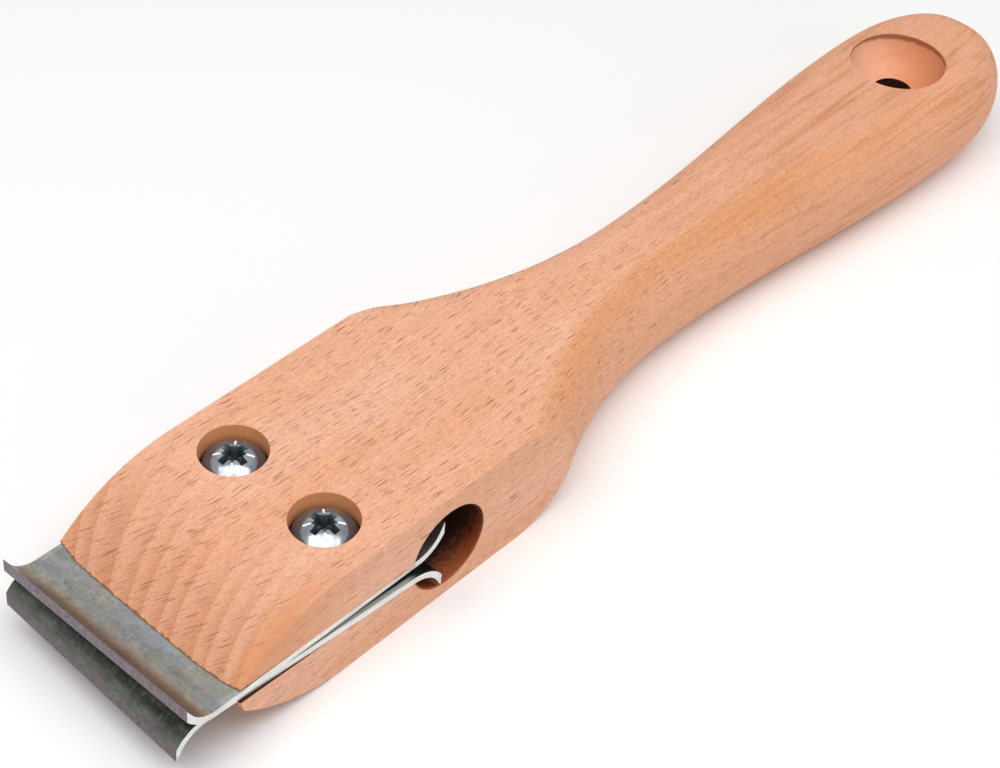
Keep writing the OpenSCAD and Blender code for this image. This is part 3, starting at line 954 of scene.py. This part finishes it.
@dataclass
class Blade:
    """A double-ended blade: a flat strip, bent up 60 degrees at both ends."""

    name: str
    body: str
    node: str
    place: Matrix
    steel: BladeSteel
    length: float = 62.5
    width: float = 47.9
    thick: float = 1.5
    bend_radius: float = 6.5
    bend_deg: float = 60.0
    lip: float = 2.35
    slot_width: float = 7.2
    slot_run: float = 13.85
    slot_y: float = 12.0
    steps: int = 14
    edge_light: str = "#90838a"
    edge_dark: str = "#675a60"

    def half_profile(self) -> list[Point2]:
        """Gives one end of the strip in side view.

        Returns:
            (x, z) points from the underside round the edge to the upper face.
        """
        angle, edge = radians(self.bend_deg), self.length / 2
        outer = self.bend_radius + self.thick
        start = edge - self.bend_radius * sin(angle) - self.lip * cos(angle)
        arcs = ((outer, min(angle, asin((edge - start) / outer))), (self.bend_radius, angle))
        under, over = ([(start + radius * sin(most * i / self.steps),
                         outer - radius * cos(most * i / self.steps)) for i in range(self.steps + 1)]
                       for radius, most in arcs)
        tip = (over[-1][0] + self.lip * cos(angle), over[-1][1] + self.lip * sin(angle))
        return under + [tip] + over[::-1]

    def build(self) -> None:
        """Builds the blade and dresses it."""
        end = self.half_profile()
        bm = extruded(end + [(-x, z) for x, z in reversed(end)], self.width)
        for face in bm.faces:
            middle = face.calc_center_median()
            if abs(face.normal.y) > 0.9:
                face.material_index = Face.SIDE
            elif abs(face.normal.x) > 0.97 and abs(middle.x) > self.length / 2 - 0.1:
                face.material_index = Face.GROUND
        ease_edges(bm, over_deg=50.0, size=0.14, steps=2)
        side = GroundSteel(self.name + "_sheared_side", light="#f1f1ef", dark="#cfcfcb",
                           grain=(3.0, 0.5, 0.3), speck_part=0.12)
        ground = GroundSteel(self.name + "_ground_edge", light=self.edge_light, dark=self.edge_dark,
                             speck="#41333c", grain=(0.5, 0.35, 1.2), speck_part=0.65, roughness=0.5)
        obj = new_object(self.name, bm, [finish.build() for finish in (self.steel, side, ground)])
        for way in (-1, 1):
            slot = bmesh.new()
            ops.create_circle(slot, cap_ends=True, segments=48, radius=self.slot_width / 2)
            for vert in slot.verts:
                vert.co.x += copysign(self.slot_run, vert.co.x)
                vert.co.y += way * self.slot_y
                vert.co.z = -1.0
            grown = ops.extrude_face_region(slot, geom=slot.faces[:], use_keep_orig=True)["geom"]
            moved = [g for g in grown if isinstance(g, BMVert)]
            ops.translate(slot, verts=moved, vec=(0, 0, self.thick + 2))
            ops.recalc_face_normals(slot, faces=slot.faces)
            join_solids(obj, slot)
        obj.data.transform(self.place)
        finish_piece(obj, self.body, self.node)


@dataclass
class ClampScrew:
    """A pan-head machine screw with a cross recess and four tick marks."""

    name: str
    body: str
    node: str
    spot: Vector
    zinc: Material
    bare: Material
    turn_deg: float = 0.0
    head_radius: float = 6.0
    head_height: float = 4.6
    rim: float = 2.2
    soft: float = 0.35
    recess: float = 7.5
    depth: float = 3.2
    thread_radius: float = 3.0
    core_radius: float = 2.55
    pitch: float = 1.0
    length: float = 20.0

    def head(self) -> Object:
        """Turns the pan head and cuts its recess and marks.

        Returns:
            The head, with its bearing face at height 0.
        """
        top, wide = self.head_height, self.head_radius
        dome = top - self.rim
        radius = (wide ** 2 + dome ** 2) / (2 * dome)
        half = asin(wide / radius)
        profile = [(0.0, 0.0), (wide - self.soft, 0.0), (wide - 0.1, 0.1), (wide, self.soft),
                   (wide, self.rim - self.soft)]
        # The dome starts a little inside the rim, which leaves the head's upper edge rounded
        for i in range(18):
            a = half * (0.985 - 0.985 * i / 18)
            drop = 0.12 * max(0.0, 1 - i / 2)
            profile.append((radius * sin(a) - drop, top - radius * (1 - cos(a)) - drop))
        obj = new_object(self.name, turned(profile + [(0.0, top)], 96), [self.zinc, self.bare])
        core = bmesh.new()
        place = shift(0, 0, top + 0.2 - self.depth / 2) @ spin(self.turn_deg, "Z")
        ops.create_cone(core, cap_ends=True, segments=8, radius1=1.2, radius2=2.25,
                        depth=self.depth + 0.4, matrix=place)
        join_solids(obj, core)
        # Length, width and share of the depth of the cross's wings, and of the thin ones between them
        wings = ((self.recess, 1.6, 0.85), (5.3, 0.5, 0.5))
        for step in range(4):
            length, width, share = wings[step % 2]
            wing = bmesh.new()
            ops.create_cube(wing, size=1.0)
            for vert in wing.verts:
                low = vert.co.z < 0
                vert.co.x *= length * (0.5 if low else 1.0)
                vert.co.y *= width * (0.65 if low else 1.05)
                vert.co.z = top - self.depth * share if low else top + 0.3
            turn = radians(self.turn_deg + 90 * (step // 2) + 45 * (step % 2))
            ops.rotate(wing, verts=wing.verts, cent=(0, 0, 0), matrix=Matrix.Rotation(turn, 3, "Z"))
            ops.recalc_face_normals(wing, faces=wing.faces)
            join_solids(obj, wing)
        mark_at = wide * 0.52
        tilt = asin(mark_at / radius)
        height = top - radius + sqrt(radius ** 2 - mark_at ** 2)
        for step in range(4):
            mark = bmesh.new()
            ops.create_cube(mark, size=1.0)
            mark.transform(spin(self.turn_deg + 45 + 90 * step, "Z") @ shift(mark_at, 0, height)
                           @ Matrix.Rotation(tilt, 4, "Y") @ spin(45, "X")
                           @ Matrix.Diagonal((1.6, 0.34, 0.34, 1.0)))
            for face in mark.faces:
                face.material_index = 1
            join_solids(obj, mark)
        return obj

    def shank(self) -> BMesh:
        """Turns the core and winds the thread round it.

        Returns:
            The shank below height 0.
        """
        core, tip = self.core_radius, 0.75
        bm = turned([(0.0, 0.1), (core, 0.1), (core, tip - self.length), (core - tip, -self.length),
                     (0.0, -self.length)], 48)
        top, bottom = -1.0, tip - self.length + 0.2
        turns = (top - bottom) / self.pitch
        tooth = [(core - 0.1, -0.42), (self.thread_radius, -0.06), (self.thread_radius, 0.06),
                 (core - 0.1, 0.42)]
        face = bm.faces.new([bm.verts.new((r, 0.0, bottom + h)) for r, h in tooth])
        ops.spin(bm, geom=[face], cent=(0, 0, 0), axis=(0, 0, 1), dvec=(0, 0, self.pitch / 24),
                 angle=tau * turns, steps=round(24 * turns), use_merge=False, use_duplicate=False)
        ops.recalc_face_normals(bm, faces=bm.faces)
        return bm

    def build(self) -> None:
        """Builds the screw and dresses it."""
        obj = self.head()
        bm = self.shank()
        bm.from_mesh(obj.data)
        bm.to_mesh(obj.data)
        bm.free()
        obj.data.transform(Matrix.Translation(self.spot))
        finish_piece(obj, self.body, self.node)


@dataclass
class HexNut:
    """A hexagon nut with its corners turned down and a chamfered thread."""

    name: str
    body: str
    node: str
    spot: Vector
    zinc: Material
    half_flats: float = 5.0
    height: float = 5.2
    bore: float = 3.05
    turned_off: float = 0.25
    chamfer: float = 0.45

    def build(self) -> None:
        """Builds the nut and dresses it."""
        corner, top = self.half_flats / cos(radians(30)), self.height
        prism = bmesh.new()
        ops.create_cone(prism, cap_ends=True, segments=6, radius1=corner, radius2=corner, depth=top,
                        matrix=shift(0, 0, top / 2) @ spin(30, "Z"))
        obj = new_object(self.name, prism, [self.zinc])
        drop = (corner - self.half_flats + self.turned_off) * tan(radians(30))
        flat = self.half_flats - self.turned_off
        lathe = turned([(0.0, -0.001), (flat, -0.001), (corner, drop), (corner + 0.5, drop + 0.3),
                        (corner + 0.5, top - drop - 0.3), (corner, top - drop), (flat, top + 0.001),
                        (0.0, top + 0.001)], 72)
        join_solids(obj, lathe, Joining.KEEP_COMMON)
        mouth = self.bore + self.chamfer
        drill = turned([(0.0, -0.5), (mouth + 0.5, -0.5), (mouth, 0.0), (self.bore, self.chamfer),
                        (self.bore, top - self.chamfer), (mouth, top), (mouth + 0.5, top + 0.5),
                        (0.0, top + 0.5)], 72)
        join_solids(obj, drill)
        obj.data.transform(Matrix.Translation(self.spot))
        finish_piece(obj, self.body, self.node, sharp_deg=26.0)


@dataclass
class Studio:
    """The pale floor, the soft lamps and the camera at the photo's angle."""

    sky: float = 0.32
    azimuth: float = -49.844
    elevation: float = 43.352
    roll: float = 4.066
    lens: float = 76.85
    right_mm: float = -27.602
    up_mm: float = -26.982
    back_mm: float = 412.652

    def camera(self) -> None:
        """Places the camera from the angles found in the photo."""
        az, el, roll = (radians(v) for v in (self.azimuth, self.elevation, self.roll))
        back = Vector((sin(az) * cos(el), -cos(az) * cos(el), sin(el)))
        level = Vector((0, 0, 1)).cross(back).normalized()
        upright = back.cross(level)
        right = cos(roll) * level + sin(roll) * upright
        up = -sin(roll) * level + cos(roll) * upright
        data = bpy.data.cameras.new("camera")
        data.lens = self.lens
        data.sensor_width = 36.0
        data.clip_start = 0.01
        data.clip_end = 50.0
        obj = bpy.data.objects.new("camera", data)
        where = (-self.right_mm * right - self.up_mm * up + self.back_mm * back) * MM
        turn = Matrix((right, up, back)).transposed().to_4x4()
        obj.matrix_world = Matrix.Translation(where) @ turn
        bpy.context.scene.collection.objects.link(obj)
        bpy.context.scene.camera = obj

    def lamp(self, name: str, at: Vector, size: Point2, power: float, tint: str = "#ffffff") -> None:
        """Adds a soft box that faces the middle of the tool.

        Args:
            name: the lamp's name.
            at: its place in metres.
            size: its width, across the camera's view, and its height, in metres.
            power: its power in watts.
            tint: its colour.
        """
        data = bpy.data.lights.new(name, "AREA")
        data.color = linear(tint)[:3]
        data.shape = "RECTANGLE"
        data.size, data.size_y = size
        data.energy = power
        obj = bpy.data.objects.new(name, data)
        away = (at - Vector((0.0, 0.0, 0.01))).normalized()
        wide = Vector((0.68, -0.73, 0.0))
        wide = (wide - wide.dot(away) * away).normalized()
        turn = Matrix((wide, away.cross(wide), away)).transposed().to_4x4()
        obj.matrix_world = Matrix.Translation(at) @ turn
        bpy.context.scene.collection.objects.link(obj)

    def world(self) -> None:
        """Lights the scene evenly, and shows white to the camera and to gloss."""
        world = bpy.data.worlds.new("studio")
        add = node_adder(world)
        strength = add("MapRange", (seen_directly(add), 0.0, 1.0, self.sky, 1.0))
        glow = add("Background", {"Color": "#ffffff", "Strength": strength})
        add("OutputWorld", (glow,))
        bpy.context.scene.world = world

    def floor(self) -> None:
        """Lays a pale matt floor under the tool."""
        bm = bmesh.new()
        ops.create_grid(bm, x_segments=1, y_segments=1, size=6.0)
        material = bpy.data.materials.new("matt_white_floor")
        add = node_adder(material)
        paint = add("Mix.RGBA", {0: seen_directly(add), 6: "#f4f4f4", 7: "#ffffff"})
        matt = add("BsdfDiffuse", {"Color": paint})
        add("OutputMaterial", (matt,))
        floor = new_object("floor", bm, [material])

    def build(self) -> None:
        """Builds the camera, lamps, world and floor."""
        self.camera()
        self.world()
        self.floor()
        self.lamp("key", Vector((-0.17, -0.16, 1.0)), (1.5, 0.7), 10.2)
        self.lamp("front", Vector((-0.1, -1.0, 0.45)), (0.8, 0.5), 1.4, "#e6f1ff")


def main() -> None:
    """Builds the studio and the pieces."""
    logging.basicConfig(level=logging.INFO, format="%(message)s")
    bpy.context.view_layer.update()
    bpy.context.scene.view_settings.view_transform = "Standard"
    Studio().build()
    kerf = Kerf()
    handle = Handle(kerf)
    handle.build()
    # The rear edges stand 1.15 and 1.6 mm before the middle of the bore, and the blades lie a little skew
    gap, half_blade = 0.05, Blade.length / 2
    upper_x, lower_x = -1.15 - half_blade, -1.6 - half_blade
    upper = (shift(upper_x, 0, kerf.top_wall(upper_x) - gap) @ spin(kerf.top_rise_deg, "Y")
             @ spin(0.9, "Z") @ shift(0, 0, -Blade.thick))
    lower = (shift(lower_x, 0, kerf.low_wall(lower_x) + gap) @ spin(kerf.rise_deg, "Y")
             @ spin(-1.7, "Z") @ shift(0, 0, Blade.thick) @ spin(180, "X"))
    # Painted shade under the upper blade: the lower blade's strip is a darker copy of the upper one, darkest
    # just below the upper blade's edge, with darker heat tints and scratches. Its ground edge is drawn darker
    # too.
    shaded_lower_bands = ((0.0, "#4c4f48"), (0.6, "#33362f"), (0.82, "#22251e"), (0.88, "#363832"),
                  (0.93, "#585952"), (1.0, "#6a6862"))
    Blade("upper_hooked_blade", "upper_scraper", "upper_blade", upper,
          BladeSteel("oxidised_blade_strip_upper", upper, painted_light_most=0.35)).build()
    Blade("lower_hooked_blade", "lower_scraper", "lower_blade", lower,
          BladeSteel("oxidised_and_shaded_blade_strip_lower", lower, shaded_lower_bands, "#4c5450", "#6d6c62",
                     scratch="#8e9490", seed=40.0), edge_light="#7a6f74", edge_dark="#574d52").build()
    # The struck tick marks are drawn near white: a painted glint
    bare = GroundSteel("tick_mark_painted_glint", "#ffffff", "#e4e6e8", "#c8cacc", metallic=0.3,
                       roughness=0.5).build()
    for side, way, turn in (("left", -1, 4.0), ("right", 1, -3.0)):
        x, y = -handle.screw_x, way * handle.screw_y
        seat = Vector((x, y, handle.seat + gap))
        roof = Vector((x, y, handle.pocket_depth - HexNut.height - gap))
        zinc = ZincPlate(f"blue_zinc_plate_{side}", Vector((x, y, 0))).build()
        ClampScrew(f"{side}_pan_screw", f"{side}_screw", f"{side}_clamp_screw", seat, zinc, bare,
                   turn).build()
        HexNut(f"{side}_hex_nut", f"{side}_captive_nut", f"{side}_nut", roof, zinc).build()


if __name__ == "__main__":
    main()
